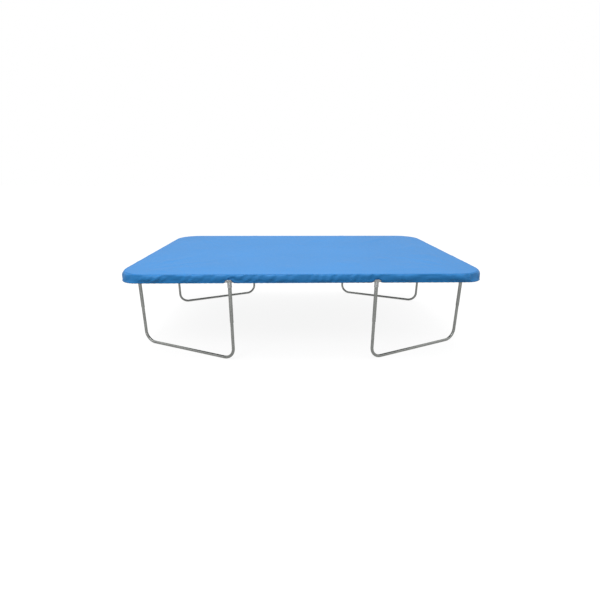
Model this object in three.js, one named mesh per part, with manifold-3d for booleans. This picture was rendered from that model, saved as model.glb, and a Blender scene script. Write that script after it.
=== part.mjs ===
// Rectangular garden trampoline with a jump mat, coil springs, safety pads and a fitted weather cover.
// It stands on four U-shaped tube legs, one across each corner.
// Millimetres, +Z up. The origin is on the floor under the middle of the frame.
// +X runs along the long side, and -Y is the front.

import * as THREE from "three";
import { mergeVertices } from "three/addons/utils/BufferGeometryUtils.js";
import Module from "manifold-3d";

const wasm = await Module();
wasm.setup();

// Top frame
const FRAME_LENGTH = 3660; // outside the rails
const FRAME_WIDTH = 2440;
const RAIL_DIAMETER = 42;
const RAIL_HEIGHT = 877; // floor to rail axis
const RAIL_BEND = 270; // at the rail axis
const TUBE_WALL = 1.5;
const JOINT_GAP = 2; // between two rail ends inside a tee socket

// Tee sockets, which hold two rail ends and the top of one upright
const SIDE_POST_X = 730; // posts on the long sides
const END_POST_Y = 709; // posts on the short sides
const SLEEVE_DIAMETER = 48;
const SLEEVE_LENGTH = 112;
const STUB_DIAMETER = 44;
const STUB_DROP = 72; // rail axis to the open end of the stub
const SLIP_GAP = 0.4; // all round between a tube and its socket

// Legs
const UPRIGHT_DIAMETER = 38;
const UPRIGHT_TOP = RAIL_HEIGHT - 25;
const UPRIGHT_FOOT = 430;
const BASE_DIAMETER = 33; // the base's ends slide up inside the uprights
const BASE_BEND = 120;
const BASE_TOP = UPRIGHT_FOOT + 90;

// Bolt and nut through each socket stub
const BOLT_DROP = 50; // below the rail axis
const BOLT_RADIUS = 4;
const BOLT_HOLE_RADIUS = 4.6;
const BOLT_REACH = 56; // under the head
const HEX_RADIUS = 7.5;
const BOLT_HEAD_HEIGHT = 5.3;
const NUT_HEIGHT = 6.5;

// Jump mat and springs
const MAT_THICKNESS = 2.5;
const MAT_HEIGHT = RAIL_HEIGHT + 2; // middle of the cloth
const SPRING_SPAN = 185; // rail to mat edge
const SPRING_BAR_RADIUS = 9; // a square bar of about one coil spring's weight
const SIDE_SPRINGS = 26;
const END_SPRINGS = 16;
const HOOK_LINE_WIDTH = 6;
const HOOK_LINE_HEIGHT = 4;

// Safety pads over the springs
const PAD_OVERHANG = 22; // outside the rail axis
const PAD_WIDTH = 265;
const PAD_THICKNESS = 38;
const PAD_GAP = 1; // over the tee sockets
const MITRE_GAP = 1.5;

// Weather cover
const COVER_LENGTH = 3700;
const COVER_WIDTH = 2480;
const COVER_TOP = 944;
const COVER_CORNER = 250; // radius in plan
const COVER_HEM = 852;
const COVER_CLOTH = 1.5;
const SEAM_GAP = 0.3;
const HEM_NOTCH_WIDTH = 100; // the hem lifts over each tee socket
const HEM_NOTCH_TOP = 889;

// Facets
const TUBE_SIDES = 12;
const SPRING_SIDES = 4;
const HOLE_SIDES = 12;
const BEND_STEPS = 6;

const HALF_LENGTH = (FRAME_LENGTH - RAIL_DIAMETER) / 2; // middle of the frame to the rail axis
const HALF_WIDTH = (FRAME_WIDTH - RAIL_DIAMETER) / 2;
const FACET_INSET = Math.cos(Math.PI / TUBE_SIDES); // a flat facet's distance over its corner's
const QUARTER_TURN = Math.PI / 2;

const CORNERS = [
  { name: "front_left", sx: -1, sy: -1 },
  { name: "front_right", sx: 1, sy: -1 },
  { name: "rear_left", sx: -1, sy: 1 },
  { name: "rear_right", sx: 1, sy: 1 },
];

const galvanised = new THREE.MeshStandardMaterial({ color: 0xa4a9a4, roughness: 0.42, metalness: 0.9 });
const socketZinc = new THREE.MeshStandardMaterial({ color: 0xc3c5c1, roughness: 0.5, metalness: 0.85 });
const zincPlate = new THREE.MeshStandardMaterial({ color: 0xb9bcbd, roughness: 0.35, metalness: 0.95 });
const springSteel = new THREE.MeshStandardMaterial({ color: 0x9fa3a6, roughness: 0.3, metalness: 0.95 });
const matCloth = new THREE.MeshStandardMaterial({ color: 0x16171a, roughness: 0.8, metalness: 0 });
const padVinyl = new THREE.MeshStandardMaterial({ color: 0x1f56a8, roughness: 0.5, metalness: 0 });
const coverCloth = new THREE.MeshStandardMaterial({ color: 0x3f86d8, roughness: 0.6, metalness: 0 });

function vector(x, y, z) {
  return new THREE.Vector3(x, y, z);
}

function direction(from, to) {
  return to.clone().sub(from).normalize();
}

// A centre line of straights joined by round bends, with one station for each ring of a tube.
class BentRoute extends THREE.Curve {
  constructor(corners, bendRadius) {
    super();
    this.stations = [];
    const last = corners.length - 1;
    this.addStation(corners[0], direction(corners[0], corners[1]));
    for (let i = 1; i < last; i += 1) {
      this.addBend(corners[i - 1], corners[i], corners[i + 1], bendRadius);
    }
    this.addStation(corners[last], direction(corners[last - 1], corners[last]));
  }

  addStation(point, tangent) {
    this.stations.push({ point, tangent });
  }

  addBend(before, corner, after, radius) {
    const into = direction(before, corner);
    const turn = into.angleTo(direction(corner, after));
    const axis = into.clone().cross(direction(corner, after)).normalize();
    const start = corner.clone().addScaledVector(into, -radius * Math.tan(turn / 2));
    const inward = axis.clone().cross(into);
    const centre = start.clone().addScaledVector(inward, radius);
    for (let step = 0; step <= BEND_STEPS; step += 1) {
      const angle = (turn * step) / BEND_STEPS;
      const spoke = start.clone().sub(centre).applyAxisAngle(axis, angle);
      this.addStation(centre.clone().add(spoke), into.clone().applyAxisAngle(axis, angle));
    }
  }

  station(t) {
    return this.stations[Math.round(t * (this.stations.length - 1))];
  }

  getPoint(t) {
    return this.station(t).point.clone();
  }

  getPointAt(t) {
    return this.getPoint(t);
  }

  getTangentAt(t) {
    return this.station(t).tangent.clone();
  }
}

// A round section as a polygon with one flat facet square to each axis.
function facetedCircle(radius, sides) {
  const points = [];
  for (let i = 0; i < sides; i += 1) {
    const angle = ((i + 0.5) * 2 * Math.PI) / sides;
    points.push(new THREE.Vector2(radius * Math.cos(angle), radius * Math.sin(angle)));
  }
  return points;
}

function tubeSection(diameter, wall) {
  const section = new THREE.Shape(facetedCircle(diameter / 2, TUBE_SIDES));
  section.holes.push(new THREE.Path(facetedCircle(diameter / 2 - wall, TUBE_SIDES).reverse()));
  return section;
}

function tubeAlong(corners, diameter, bendRadius) {
  const route = new BentRoute(corners, bendRadius);
  return new THREE.ExtrudeGeometry(tubeSection(diameter, TUBE_WALL), {
    steps: route.stations.length - 1,
    extrudePath: route,
  });
}

// A solid rod along one axis, centred on the origin.
function rod(radius, length, axis, sides = TUBE_SIDES) {
  const geometry = new THREE.ExtrudeGeometry(new THREE.Shape(facetedCircle(radius, sides)), {
    depth: length,
    bevelEnabled: false,
  });
  geometry.translate(0, 0, -length / 2);
  if (axis === "x") geometry.rotateY(QUARTER_TURN);
  if (axis === "y") geometry.rotateX(QUARTER_TURN);
  return geometry;
}

function slab(shape, bottom, top) {
  const geometry = new THREE.ExtrudeGeometry(shape, {
    depth: top - bottom,
    bevelEnabled: false,
    curveSegments: BEND_STEPS / 2,
  });
  return geometry.translate(0, 0, bottom);
}

function roundedRectangle(halfLength, halfWidth, radius, PathClass = THREE.Shape) {
  const x = halfLength - radius;
  const y = halfWidth - radius;
  const outline = new PathClass();
  outline.absarc(x, y, radius, 0, QUARTER_TURN, false);
  outline.absarc(-x, y, radius, QUARTER_TURN, 2 * QUARTER_TURN, false);
  outline.absarc(-x, -y, radius, 2 * QUARTER_TURN, 3 * QUARTER_TURN, false);
  outline.absarc(x, -y, radius, 3 * QUARTER_TURN, 4 * QUARTER_TURN, false);
  outline.closePath();
  return outline;
}

function toSolid(geometry) {
  const bare = geometry.clone();
  bare.deleteAttribute("normal");
  bare.deleteAttribute("uv");
  const merged = mergeVertices(bare, 1e-3);
  return new wasm.Manifold(
    new wasm.Mesh({
      numProp: 3,
      vertProperties: new Float32Array(merged.attributes.position.array),
      triVerts: new Uint32Array(merged.index.array),
    }),
  );
}

function toGeometry(solid) {
  const mesh = solid.getMesh();
  const geometry = new THREE.BufferGeometry();
  geometry.setAttribute("position", new THREE.BufferAttribute(new Float32Array(mesh.vertProperties), 3));
  geometry.setIndex(new THREE.BufferAttribute(new Uint32Array(mesh.triVerts), 1));
  geometry.computeVertexNormals();
  return geometry;
}

function piece(name, geometry, material, position = vector(0, 0, 0), yaw = 0) {
  const mesh = new THREE.Mesh(geometry, material);
  mesh.name = name;
  mesh.position.copy(position);
  mesh.rotation.z = yaw;
  return mesh;
}

// The two posts of one corner leg: where each stands, and which way is out of the frame there.
function cornerPosts({ name, sx, sy }) {
  return [
    { name: `${name}_side`, at: vector(sx * SIDE_POST_X, sy * HALF_WIDTH, 0), out: vector(0, sy, 0) },
    { name: `${name}_end`, at: vector(sx * HALF_LENGTH, sy * END_POST_Y, 0), out: vector(sx, 0, 0) },
  ];
}

// The turn that points a piece's own -Y out of the frame.
function outwardYaw(out) {
  return Math.atan2(out.x, -out.y);
}

function cornerRail({ sx, sy }) {
  const cut = JOINT_GAP / 2;
  return tubeAlong(
    [
      vector(sx * (SIDE_POST_X + cut), sy * HALF_WIDTH, 0),
      vector(sx * HALF_LENGTH, sy * HALF_WIDTH, 0),
      vector(sx * HALF_LENGTH, sy * (END_POST_Y + cut), 0),
    ],
    RAIL_DIAMETER,
    RAIL_BEND,
  );
}

function straightRail(halfSpan) {
  const reach = halfSpan - JOINT_GAP / 2;
  return tubeAlong([vector(-reach, 0, 0), vector(reach, 0, 0)], RAIL_DIAMETER, 0);
}

function boltHole() {
  return toSolid(rod(BOLT_HOLE_RADIUS, 2 * STUB_DIAMETER, "y", HOLE_SIDES).translate(0, 0, -BOLT_DROP));
}

// Rail axis at the origin, sleeve along X, stub down.
function teeSocket() {
  const stub = rod(STUB_DIAMETER / 2, STUB_DROP, "z").translate(0, 0, -STUB_DROP / 2);
  const bore = rod(UPRIGHT_DIAMETER / 2 + SLIP_GAP, 2 * STUB_DROP, "z").translate(0, 0, -STUB_DROP);
  const railBore = rod(RAIL_DIAMETER / 2 + SLIP_GAP, 2 * SLEEVE_LENGTH, "x");
  const socket = toSolid(rod(SLEEVE_DIAMETER / 2, SLEEVE_LENGTH, "x"))
    .add(toSolid(stub))
    .subtract(toSolid(bore))
    .subtract(toSolid(railBore))
    .subtract(boltHole());
  return toGeometry(socket);
}

// Rail axis at the origin, like the socket that holds it.
function upright() {
  const top = vector(0, 0, UPRIGHT_TOP - RAIL_HEIGHT);
  const foot = vector(0, 0, UPRIGHT_FOOT - RAIL_HEIGHT);
  return toGeometry(toSolid(tubeAlong([top, foot], UPRIGHT_DIAMETER, 0)).subtract(boltHole()));
}

function bolt() {
  const seat = -(STUB_DIAMETER / 2) * FACET_INSET - SEAM_GAP;
  const head = rod(HEX_RADIUS, BOLT_HEAD_HEIGHT, "y", 6).translate(0, seat - BOLT_HEAD_HEIGHT / 2, 0);
  const shank = rod(BOLT_RADIUS, BOLT_REACH + 1, "y", HOLE_SIDES).translate(0, seat + (BOLT_REACH - 1) / 2, 0);
  return toGeometry(toSolid(head).add(toSolid(shank))).translate(0, 0, -BOLT_DROP);
}

function nut() {
  const seat = (STUB_DIAMETER / 2) * FACET_INSET + SEAM_GAP;
  const hexagon = rod(HEX_RADIUS, NUT_HEIGHT, "y", 6).translate(0, seat + NUT_HEIGHT / 2, 0);
  const thread = rod(BOLT_HOLE_RADIUS, 4 * NUT_HEIGHT, "y", HOLE_SIDES).translate(0, seat, 0);
  return toGeometry(toSolid(hexagon).subtract(toSolid(thread))).translate(0, 0, -BOLT_DROP);
}

// A U on edge: its floor rail lies along X on one flat facet.
function legBase(span) {
  const axisHeight = (BASE_DIAMETER / 2) * FACET_INSET;
  return tubeAlong(
    [
      vector(-span / 2, 0, BASE_TOP),
      vector(-span / 2, 0, axisHeight),
      vector(span / 2, 0, axisHeight),
      vector(span / 2, 0, BASE_TOP),
    ],
    BASE_DIAMETER,
    BASE_BEND,
  );
}

function makeLegs() {
  const legs = new THREE.Group();
  const shapes = [
    ["tee", teeSocket(), socketZinc],
    ["upright", upright(), galvanised],
    ["bolt", bolt(), zincPlate],
    ["nut", nut(), zincPlate],
  ];
  for (const corner of CORNERS) {
    const [side, end] = cornerPosts(corner);
    for (const post of [side, end]) {
      const top = post.at.clone().setZ(RAIL_HEIGHT);
      for (const [kind, geometry, material] of shapes) {
        legs.add(piece(`${kind}_${post.name}`, geometry, material, top, outwardYaw(post.out)));
      }
    }
    const across = end.at.clone().sub(side.at);
    const middle = side.at.clone().lerp(end.at, 0.5);
    const yaw = Math.atan2(across.y, across.x);
    legs.add(piece(`leg_base_${corner.name}`, legBase(across.length()), galvanised, middle, yaw));
  }
  return legs;
}

function makeRails() {
  const rails = new THREE.Group();
  rails.position.z = RAIL_HEIGHT;
  for (const corner of CORNERS) {
    rails.add(piece(`rail_corner_${corner.name}`, cornerRail(corner), galvanised));
  }
  const side = straightRail(SIDE_POST_X);
  const end = straightRail(END_POST_Y);
  rails.add(piece("rail_front", side, galvanised, vector(0, -HALF_WIDTH, 0)));
  rails.add(piece("rail_rear", side, galvanised, vector(0, HALF_WIDTH, 0)));
  rails.add(piece("rail_left", end, galvanised, vector(-HALF_LENGTH, 0, 0), QUARTER_TURN));
  rails.add(piece("rail_right", end, galvanised, vector(HALF_LENGTH, 0, 0), QUARTER_TURN));
  return rails;
}

const MAT_HALF_LENGTH = HALF_LENGTH - RAIL_DIAMETER / 2 - SPRING_SPAN;
const MAT_HALF_WIDTH = HALF_WIDTH - RAIL_DIAMETER / 2 - SPRING_SPAN;
const MAT_CORNER = RAIL_BEND - RAIL_DIAMETER / 2 - SPRING_SPAN;
const HOOK_GAP = 1; // mat edge to the line of hooks
const SPRING_LENGTH = SPRING_SPAN + (RAIL_DIAMETER - SLEEVE_DIAMETER) / 2 - 2 * HOOK_GAP;

// One side's springs as plain bars, joined by the line of rings along the mat.
// The mat edge is at the origin, and the springs reach out along -Y.
function springRow(count, matHalfSide) {
  const straight = 2 * (matHalfSide - MAT_CORNER);
  const pitch = straight / count;
  const line = new THREE.BoxGeometry(straight, HOOK_LINE_WIDTH, HOOK_LINE_HEIGHT);
  let row = toSolid(line.translate(0, -HOOK_GAP - HOOK_LINE_WIDTH / 2, 0));
  for (let i = 0; i < count; i += 1) {
    const x = (i - (count - 1) / 2) * pitch;
    const coil = rod(SPRING_BAR_RADIUS, SPRING_LENGTH, "y", SPRING_SIDES);
    row = row.add(toSolid(coil.translate(x, -HOOK_GAP - SPRING_LENGTH / 2, 0)));
  }
  return toGeometry(row);
}

function makeSprings() {
  const springs = new THREE.Group();
  springs.position.z = MAT_HEIGHT;
  const side = springRow(SIDE_SPRINGS, MAT_HALF_LENGTH);
  const end = springRow(END_SPRINGS, MAT_HALF_WIDTH);
  const rows = [
    ["front", side, vector(0, -1, 0), MAT_HALF_WIDTH],
    ["rear", side, vector(0, 1, 0), MAT_HALF_WIDTH],
    ["left", end, vector(-1, 0, 0), MAT_HALF_LENGTH],
    ["right", end, vector(1, 0, 0), MAT_HALF_LENGTH],
  ];
  for (const [name, geometry, out, reach] of rows) {
    const edge = out.clone().multiplyScalar(reach);
    springs.add(piece(`springs_${name}`, geometry, springSteel, edge, outwardYaw(out)));
  }
  const single = rod(SPRING_BAR_RADIUS, SPRING_LENGTH, "y", SPRING_SIDES);
  for (const { name, sx, sy } of CORNERS) {
    const out = vector(sx, sy, 0).normalize();
    const bend = vector(sx * (HALF_LENGTH - RAIL_BEND), sy * (HALF_WIDTH - RAIL_BEND), 0);
    const middle = bend.addScaledVector(out, MAT_CORNER + HOOK_GAP + SPRING_LENGTH / 2);
    springs.add(piece(`spring_corner_${name}`, single, springSteel, middle, outwardYaw(out)));
  }
  return springs;
}

function makeMat() {
  const outline = roundedRectangle(MAT_HALF_LENGTH, MAT_HALF_WIDTH, MAT_CORNER);
  const cloth = slab(outline, -MAT_THICKNESS / 2, MAT_THICKNESS / 2);
  return piece("jump_mat", cloth, matCloth, vector(0, 0, MAT_HEIGHT));
}

// One pad along the front, mitred at both ends and rounded to half of each frame corner.
function padShape(halfLength, halfWidth) {
  const radius = RAIL_BEND + PAD_OVERHANG;
  const x = halfLength - radius - MITRE_GAP;
  const y = -(halfWidth - radius);
  const innerX = halfLength - PAD_WIDTH - MITRE_GAP;
  const innerY = -(halfWidth - PAD_WIDTH);
  const shape = new THREE.Shape();
  shape.moveTo(innerX, innerY);
  shape.lineTo(-innerX, innerY);
  shape.absarc(-x, y, radius, 2.5 * QUARTER_TURN, 3 * QUARTER_TURN, false);
  shape.absarc(x, y, radius, 3 * QUARTER_TURN, 3.5 * QUARTER_TURN, false);
  shape.closePath();
  return shape;
}

function makePads() {
  const pads = new THREE.Group();
  const bottom = RAIL_HEIGHT + SLEEVE_DIAMETER / 2 + PAD_GAP;
  const halfLength = HALF_LENGTH + PAD_OVERHANG;
  const halfWidth = HALF_WIDTH + PAD_OVERHANG;
  const side = slab(padShape(halfLength, halfWidth), bottom, bottom + PAD_THICKNESS);
  const end = slab(padShape(halfWidth, halfLength), bottom, bottom + PAD_THICKNESS);
  pads.add(piece("pad_front", side, padVinyl));
  pads.add(piece("pad_right", end, padVinyl, vector(0, 0, 0), QUARTER_TURN));
  pads.add(piece("pad_rear", side, padVinyl, vector(0, 0, 0), 2 * QUARTER_TURN));
  pads.add(piece("pad_left", end, padVinyl, vector(0, 0, 0), 3 * QUARTER_TURN));
  return pads;
}

function makeCover() {
  const cover = new THREE.Group();
  const halfLength = COVER_LENGTH / 2;
  const halfWidth = COVER_WIDTH / 2;
  const outline = roundedRectangle(halfLength, halfWidth, COVER_CORNER);
  const skirtTop = COVER_TOP - COVER_CLOTH - SEAM_GAP;
  cover.add(piece("cover_top", slab(outline, COVER_TOP - COVER_CLOTH, COVER_TOP), coverCloth));

  const inset = [halfLength - COVER_CLOTH, halfWidth - COVER_CLOTH, COVER_CORNER - COVER_CLOTH];
  const band = roundedRectangle(halfLength, halfWidth, COVER_CORNER);
  band.holes.push(roundedRectangle(...inset, THREE.Path));
  let skirt = toSolid(slab(band, COVER_HEM, skirtTop));
  const notchDepth = 4 * (halfWidth - HALF_WIDTH);
  const notchHeight = 2 * (HEM_NOTCH_TOP - COVER_HEM);
  for (const post of CORNERS.flatMap(cornerPosts)) {
    const notch = new THREE.BoxGeometry(HEM_NOTCH_WIDTH, notchDepth, notchHeight);
    notch.rotateZ(outwardYaw(post.out));
    notch.translate(post.at.x, post.at.y, COVER_HEM);
    skirt = skirt.subtract(toSolid(notch));
  }
  cover.add(piece("cover_skirt", toGeometry(skirt), coverCloth));
  return cover;
}

const trampoline = new THREE.Group();
trampoline.add(makeLegs());
trampoline.add(makeRails());
trampoline.add(makeSprings());
trampoline.add(makeMat());
trampoline.add(makePads());
trampoline.add(makeCover());

export default trampoline;
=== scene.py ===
"""Rectangular garden trampoline under its blue weather cover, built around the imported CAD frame.

Metres, +Z up, origin on the floor under the middle of the frame, +X along the long side, -Y the front.
"""

import functools
import math

import bmesh
import bpy
import numpy as np
from mathutils import Matrix, Vector


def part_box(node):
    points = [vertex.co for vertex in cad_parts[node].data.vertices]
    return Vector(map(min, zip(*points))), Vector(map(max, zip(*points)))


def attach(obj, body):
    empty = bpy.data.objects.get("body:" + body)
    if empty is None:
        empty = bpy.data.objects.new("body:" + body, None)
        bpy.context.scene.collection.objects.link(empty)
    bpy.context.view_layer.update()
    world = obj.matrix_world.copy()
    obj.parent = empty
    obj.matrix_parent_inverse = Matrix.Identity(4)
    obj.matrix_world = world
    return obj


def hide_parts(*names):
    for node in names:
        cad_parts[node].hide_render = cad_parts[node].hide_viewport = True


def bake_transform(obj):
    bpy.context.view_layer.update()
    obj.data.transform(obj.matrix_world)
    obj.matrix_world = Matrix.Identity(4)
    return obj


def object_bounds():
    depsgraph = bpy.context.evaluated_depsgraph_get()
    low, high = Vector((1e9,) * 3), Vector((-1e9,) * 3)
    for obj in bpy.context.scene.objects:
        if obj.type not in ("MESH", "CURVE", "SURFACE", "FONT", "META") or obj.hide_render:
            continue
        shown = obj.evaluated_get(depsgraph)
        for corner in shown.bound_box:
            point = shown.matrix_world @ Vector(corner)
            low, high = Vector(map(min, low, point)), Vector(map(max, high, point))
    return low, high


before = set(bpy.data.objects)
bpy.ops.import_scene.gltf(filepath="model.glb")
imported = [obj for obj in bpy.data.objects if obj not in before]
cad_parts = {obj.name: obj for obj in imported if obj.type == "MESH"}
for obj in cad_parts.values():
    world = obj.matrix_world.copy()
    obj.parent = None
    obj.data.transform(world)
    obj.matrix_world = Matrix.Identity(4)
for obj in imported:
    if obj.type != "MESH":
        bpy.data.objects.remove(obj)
CAD_LOW, CAD_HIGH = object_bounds()

# -------- sizes from the frame


@functools.cache
def cad_box(node):
    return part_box(node)


def middle(node):
    low, high = cad_box(node)
    return (low + high) / 2


def extent(node):
    low, high = cad_box(node)
    return high - low


CORNERS = (("front_left", -1, -1), ("front_right", 1, -1), ("rear_left", -1, 1), ("rear_right", 1, 1))
SIDES = (("front", 0, -1), ("rear", 0, 1), ("left", -1, 0), ("right", 1, 0))
POSTS = [f"{corner}_{kind}" for corner, _, _ in CORNERS for kind in ("side", "end")]

RAIL_HEIGHT = middle("rail_front").z
RAIL_RADIUS = extent("rail_front").z / 2
FRAME_HALF = Vector((middle("rail_right").x, middle("rail_rear").y, 0))  # middle to the rail axis
RAIL_BEND = 0.270  # round each corner, to the rail's axis
RAIL_GAP = 0.001  # from the middle of a socket to the end of each rail in it
TUBE_WALL = 0.0015
POST_RADIUS = extent("upright_front_left_side").x / 2
BASE_BEND = 0.120  # to the axis of a leg base
BASE_RADIUS = 0.0159  # the floor rail just touches the ground
MAT_HALF = extent("jump_mat") / 2
MAT_HEIGHT = middle("jump_mat").z
MAT_CORNER = 0.064  # radius of the mat's corners
COVER_HALF = Vector((CAD_HIGH.x, CAD_HIGH.y, 0))
COVER_TOP = CAD_HIGH.z
COVER_HEM = cad_box("cover_skirt")[0].z

# -------- camera, floor and light

CAMERA_AT = Vector((-0.124, -4.773, 1.863))
CAMERA_DOWN = 18.47  # degrees below level
CAMERA_YAW = 1.46  # degrees to the right of straight ahead
CAMERA_ROLL = 0.18
CAMERA_LENS = 22.46


def make_camera():
    data = bpy.data.cameras.new("camera")
    data.lens = CAMERA_LENS
    camera = bpy.data.objects.new("camera", data)
    bpy.context.scene.collection.objects.link(camera)
    turn = (
        Matrix.Rotation(-math.radians(CAMERA_YAW), 4, "Z")
        @ Matrix.Rotation(math.radians(90 - CAMERA_DOWN), 4, "X")
        @ Matrix.Rotation(math.radians(CAMERA_ROLL), 4, "Z")
    )
    camera.matrix_world = Matrix.Translation(CAMERA_AT) @ turn
    bpy.context.scene.camera = camera


def make_light(name, place, target, size, power):
    data = bpy.data.lights.new(name, "AREA")
    data.shape = "SQUARE"
    data.size = size
    data.energy = power
    light = bpy.data.objects.new(name, data)
    light.location = place
    light.rotation_euler = (Vector(target) - Vector(place)).to_track_quat("-Z", "Y").to_euler()
    bpy.context.scene.collection.objects.link(light)


ZENITH_LIGHT = 0.86
HORIZON_LIGHT = 0.40
BACKDROP = 1.0  # what the camera sees behind the trampoline
# Each soft light: its name, its place, what it faces, its size and its power in watts.
SOFT_LIGHTS = (
    ("overhead", (0.0, 0.3, 5.5), (0, 0, 0.9), 4.5, 110),
    ("front", (-2.8, -4.8, 5.6), (0, 0, 0.5), 2.2, 80),
    ("fill", (-0.6, -6.5, 0.25), (0, 0, 0.4), 0.4, 14),
)


def make_world():
    """A white background, lit from a sky that is brightest overhead."""
    world = bpy.data.worlds.new("studio")
    world.use_nodes = True
    bpy.context.scene.world = world
    nodes, links = world.node_tree.nodes, world.node_tree.links
    nodes.clear()
    height = nodes.new("ShaderNodeSeparateXYZ")
    links.new(nodes.new("ShaderNodeTexCoord").outputs["Generated"], height.inputs[0])
    sky = nodes.new("ShaderNodeMapRange")
    sky.inputs["To Min"].default_value = HORIZON_LIGHT
    sky.inputs["To Max"].default_value = ZENITH_LIGHT
    links.new(height.outputs["Z"], sky.inputs["Value"])
    lighting = nodes.new("ShaderNodeBackground")
    links.new(sky.outputs["Result"], lighting.inputs["Strength"])
    backdrop = nodes.new("ShaderNodeBackground")
    backdrop.inputs["Strength"].default_value = BACKDROP
    mix = nodes.new("ShaderNodeMixShader")
    links.new(nodes.new("ShaderNodeLightPath").outputs["Is Camera Ray"], mix.inputs[0])
    for socket, background in ((1, lighting), (2, backdrop)):
        background.inputs["Color"].default_value = (1, 1, 1, 1)
        links.new(background.outputs[0], mix.inputs[socket])
    output = nodes.new("ShaderNodeOutputWorld")
    links.new(mix.outputs[0], output.inputs["Surface"])


def make_studio():
    make_world()
    for light in SOFT_LIGHTS:
        make_light(*light)
    bpy.context.scene.view_settings.view_transform = "Standard"


# -------- material kit

MIX_A, MIX_B, MIX_RESULT = 6, 7, 2  # the colour sockets of a mix node


def shade(colour, factor):
    return tuple(channel * factor for channel in colour)


class Shader:
    """A principled material and short ways to add the nodes that drive it."""

    def __init__(self, name, colour, roughness, metallic=0.0, sheen=0.0, coat=0.0):
        self.material = bpy.data.materials.new(name)
        self.material.use_nodes = True
        self.nodes = self.material.node_tree.nodes
        self.links = self.material.node_tree.links
        self.shader = self.nodes["Principled BSDF"]
        self.set("Base Color", (*colour, 1))
        self.set("Roughness", roughness)
        self.set("Metallic", metallic)
        self.set("Sheen Weight", sheen)
        self.set("Coat Weight", coat)
        self.place = self.nodes.new("ShaderNodeTexCoord").outputs["Object"]

    def set(self, socket, value):
        self.shader.inputs[socket].default_value = value

    def add(self, kind, inputs=None, **settings):
        node = self.nodes.new(kind)
        for key, value in settings.items():
            setattr(node, key, value)
        for key, value in (inputs or {}).items():
            if isinstance(value, bpy.types.NodeSocket):
                self.links.new(value, node.inputs[key])
            else:
                node.inputs[key].default_value = value
        return node

    def noise(self, scale, detail=3.0, roughness=0.5):
        inputs = {"Vector": self.place, "Scale": scale, "Detail": detail, "Roughness": roughness}
        return self.add("ShaderNodeTexNoise", inputs).outputs["Fac"]

    def cells(self, scale):
        node = self.add("ShaderNodeTexVoronoi", {"Vector": self.place, "Scale": scale})
        return node.outputs["Color"], node.outputs["Distance"]

    def ramp(self, fac, low, high, start=0.3, end=0.7):
        node = self.add("ShaderNodeMapRange", {"Value": fac, "From Min": start, "From Max": end})
        node.inputs["To Min"].default_value = low
        node.inputs["To Max"].default_value = high
        return node.outputs["Result"]

    def math(self, operation, *values):
        return self.add("ShaderNodeMath", dict(enumerate(values)), operation=operation).outputs[0]

    def tint(self, fac, colour, darkest, lightest):
        """Varies the base colour between two shades of a colour."""
        ends = {MIX_A: (*shade(colour, darkest), 1), MIX_B: (*shade(colour, lightest), 1)}
        node = self.add("ShaderNodeMix", {0: fac, **ends}, data_type="RGBA")
        self.link(node.outputs[MIX_RESULT], "Base Color")

    def stripes(self, axis, spacing):
        """0 to 1 and back across threads that lie a spacing apart along an axis."""
        split = self.add("ShaderNodeSeparateXYZ", {0: self.place})
        turns = self.math("MULTIPLY", split.outputs[axis], 2 * math.pi / spacing)
        return self.math("MULTIPLY_ADD", self.math("SINE", turns), 0.5, 0.5)

    def link(self, output, socket):
        self.links.new(output, self.shader.inputs[socket])

    def bump(self, height, distance, strength=1.0):
        inputs = {"Height": height, "Distance": distance, "Strength": strength}
        if self.shader.inputs["Normal"].is_linked:
            inputs["Normal"] = self.shader.inputs["Normal"].links[0].from_socket
        self.link(self.add("ShaderNodeBump", inputs).outputs["Normal"], "Normal")


# -------- materials

COVER_BLUE = (0.018, 0.262, 0.690)
PAD_BLUE = (0.030, 0.130, 0.420)
MAT_BLACK = (0.010, 0.0105, 0.012)


def galvanised_material(name, colour, roughness):
    """Zinc with crystals that differ in tone and a soft cloudy wear."""
    kit = Shader(name, colour, roughness, metallic=0.92)
    crystals, _ = kit.cells(scale=95)
    crystal = kit.add("ShaderNodeSeparateColor", {0: crystals}).outputs[0]
    cloud = kit.noise(scale=9, detail=4)
    tone = kit.math("ADD", kit.ramp(crystal, 0.0, 0.45, 0, 1), kit.ramp(cloud, 0.0, 0.55))
    kit.tint(tone, colour, 0.80, 1.14)
    kit.link(kit.ramp(cloud, roughness - 0.07, roughness + 0.1), "Roughness")
    kit.bump(kit.noise(scale=420, detail=2), 0.0002, 0.35)
    return kit.material


def plated_material(name, colour, roughness):
    kit = Shader(name, colour, roughness, metallic=1.0)
    kit.tint(kit.noise(scale=60), colour, 0.86, 1.08)
    kit.link(kit.ramp(kit.noise(scale=240), roughness - 0.06, roughness + 0.1), "Roughness")
    return kit.material


def weave(kit, spacing, depth):
    """Threads over and under each other along X and Y, and along Z on an upright face."""
    warp = kit.stripes("X", spacing)
    weft = kit.stripes("Y", spacing)
    rise = kit.stripes("Z", spacing)
    kit.bump(kit.math("MULTIPLY", kit.math("ADD", warp, weft), rise), depth, 0.5)


def cover_material(name, colour):
    """Coated woven cloth, slightly uneven in tone and in shine."""
    kit = Shader(name, colour, 0.5, sheen=0.1)
    wide = kit.noise(scale=1.3, detail=3)
    fine = kit.noise(scale=34, detail=5, roughness=0.6)
    kit.tint(kit.math("ADD", kit.ramp(wide, 0.0, 0.6), kit.ramp(fine, 0.0, 0.4)), colour, 0.95, 1.05)
    kit.link(kit.ramp(fine, 0.42, 0.54), "Roughness")
    kit.bump(kit.noise(scale=14, detail=4, roughness=0.55), 0.004, 0.25)
    weave(kit, 0.0026, 0.0002)
    return kit.material


def mat_material(name, colour):
    kit = Shader(name, colour, 0.62, sheen=0.2)
    weave(kit, 0.0044, 0.0007)
    kit.tint(kit.noise(scale=160), colour, 0.75, 1.5)
    return kit.material


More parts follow.
